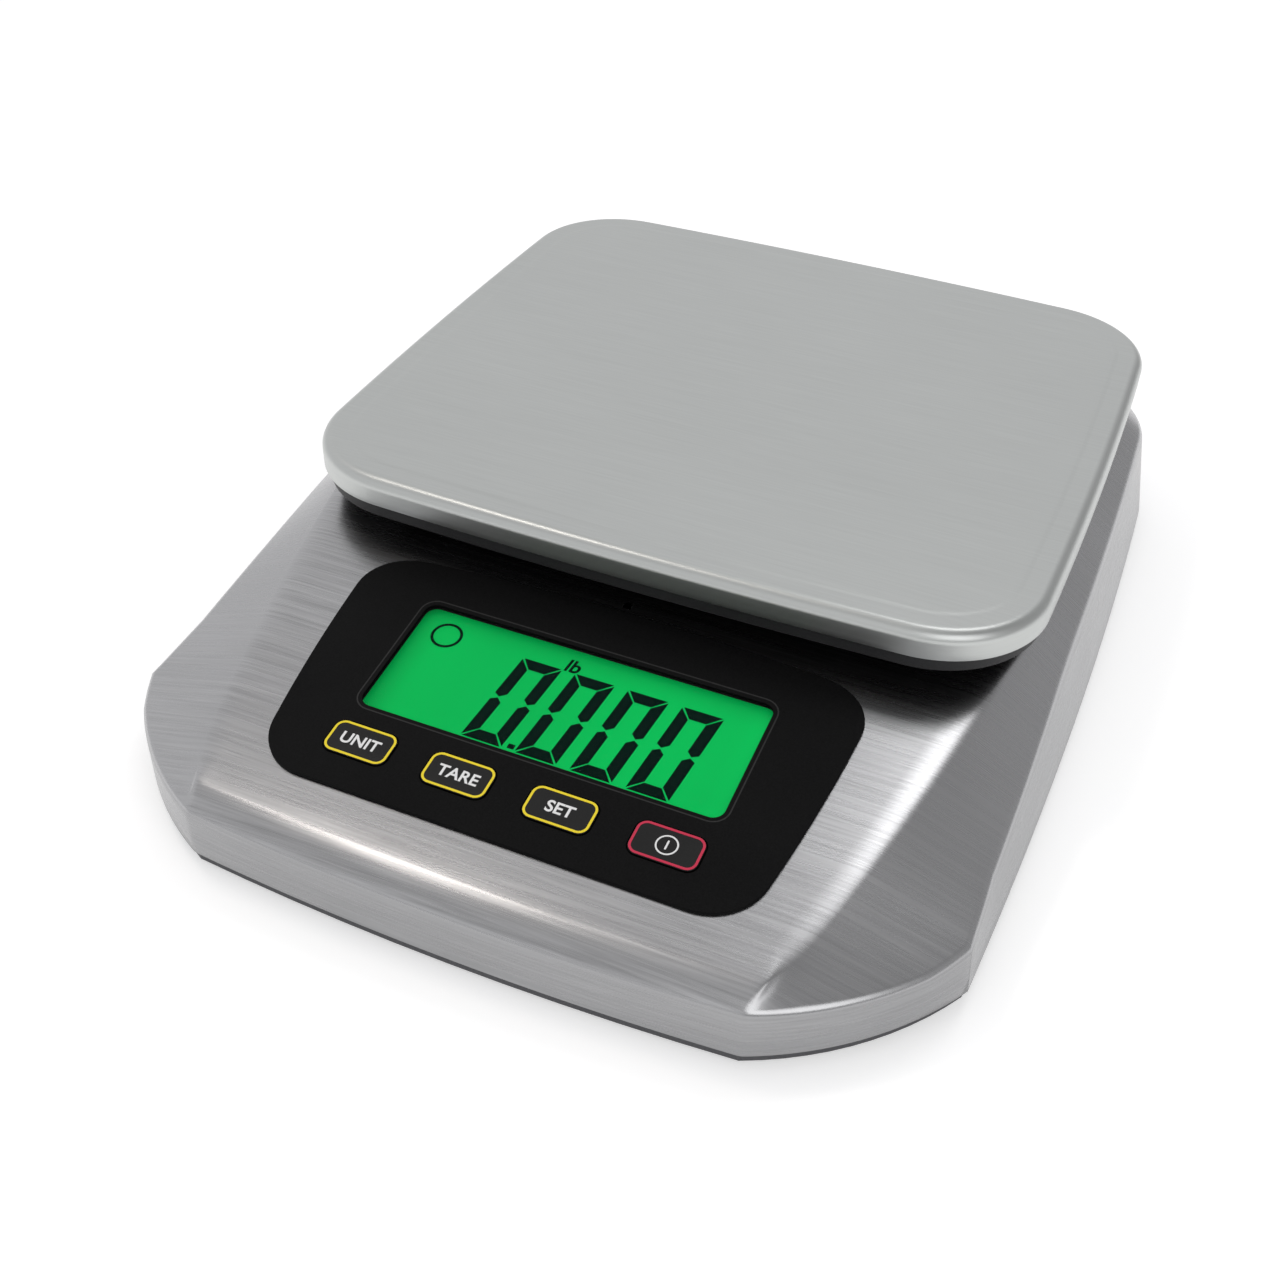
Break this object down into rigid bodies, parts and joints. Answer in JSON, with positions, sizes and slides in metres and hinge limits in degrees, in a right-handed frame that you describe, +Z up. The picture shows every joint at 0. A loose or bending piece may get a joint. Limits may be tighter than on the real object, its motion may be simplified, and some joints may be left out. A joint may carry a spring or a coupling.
{
  "type": "digital bench scale",
  "caption": "Low bench weighing scale with a wide brushed steel platform over a pressed steel housing, a sloping black display panel with a backlit LCD and press keys.",
  "frame": {"origin": "middle of the footprint, on the table plane under the feet", "axes": "+Z up, -Y towards the operator and the display, +X to the operator's right"},
  "size_m": [0.2542, 0.3234, 0.062],
  "materials": {
    "steel_housing": "brushed",
    "steel_pan": "brushed",
    "tray_plastic": "fine texture",
    "support_plastic": "fine texture",
    "foot_rubber": "matte",
    "pad_rubber": "matte",
    "post_steel": "turned",
    "screw_steel": "satin zinc",
    "bracket_steel": "zinc plated",
    "cell_aluminium": "milled",
    "overlay_black": "fine grain",
    "window_clear": "clear",
    "lcd_green": "backlit green",
    "backlight_white": "diffuse",
    "frame_plastic": "moulded",
    "zebra_rubber": "striped",
    "board_green": "solder mask",
    "chip_black": "moulded",
    "pillar_nylon": "moulded",
    "switch_metal": "satin",
    "battery_sleeve": "printed sleeve",
    "contact_nickel": "nickel",
    "cable_jacket": "smooth",
    "key_black_yellow": "black with yellow line",
    "key_black_red": "black with red line"
  },
  "bodies": {
    "housing": {"housing_shell": "steel_housing", "base_tray": "tray_plastic", "feet": "foot_rubber", "shell_posts": "post_steel", "base_screws": "screw_steel", "cell_screws_base": "screw_steel", "overload_stops": "screw_steel", "cell_base": "bracket_steel", "load_cell": "cell_aluminium", "display_overlay": "overlay_black", "display_window": "window_clear", "lcd_glass": "lcd_green", "lcd_backlight": "backlight_white", "lcd_frame": "frame_plastic", "battery_box": "frame_plastic", "zebra_strips": "zebra_rubber", "main_board": "board_green", "key_board": "board_green", "board_parts": "chip_black", "board_pillars": "pillar_nylon", "key_switches": "switch_metal", "battery_cells": "battery_sleeve", "battery_contacts": "contact_nickel", "load_cell_cable": "cable_jacket"},
    "weighing_frame": {"platform_support": "support_plastic", "support_pads": "pad_rubber", "platform_screws": "screw_steel", "support_posts": "post_steel", "upper_bracket": "bracket_steel", "cell_spacer": "bracket_steel", "cell_screws_live": "screw_steel"},
    "platform": {"platform_pan": "steel_pan"},
    "battery_cover": {"battery_door": "tray_plastic"},
    "key_unit_cap": {"key_unit": "key_black_yellow"},
    "key_tare_cap": {"key_tare": "key_black_yellow"},
    "key_set_cap": {"key_set": "key_black_yellow"},
    "key_power_cap": {"key_power": "key_black_red"}
  },
  "joints": [
    {"name": "weigh_travel", "type": "slide", "parent": "housing", "child": "weighing_frame", "axis": [0, 0, -1], "range_m": [0, 0.0006], "stiffness_N_per_m": 250000, "deforming": ["load_cell"]},
    {"name": "platform_lift", "type": "slide", "parent": "weighing_frame", "child": "platform", "axis": [0, 0, 1], "range_m": [0, 0.04]},
    {"name": "battery_door_hinge", "type": "hinge", "parent": "housing", "child": "battery_cover", "pos_m": [0, 0.0118, 0.0025], "axis": [1, 0, 0], "range_deg": [0, 80]},
    {"name": "key_unit_press", "type": "slide", "parent": "housing", "child": "key_unit_cap", "axis": [0, 0.1459, -0.9893], "range_m": [0, 0.00045], "stiffness_N_per_m": 1200},
    {"name": "key_tare_press", "type": "slide", "parent": "housing", "child": "key_tare_cap", "axis": [0, 0.1459, -0.9893], "range_m": [0, 0.00045], "stiffness_N_per_m": 1200},
    {"name": "key_set_press", "type": "slide", "parent": "housing", "child": "key_set_cap", "axis": [0, 0.1459, -0.9893], "range_m": [0, 0.00045], "stiffness_N_per_m": 1200},
    {"name": "key_power_press", "type": "slide", "parent": "housing", "child": "key_power_cap", "axis": [0, 0.1459, -0.9893], "range_m": [0, 0.00045], "stiffness_N_per_m": 1200}
  ]
}
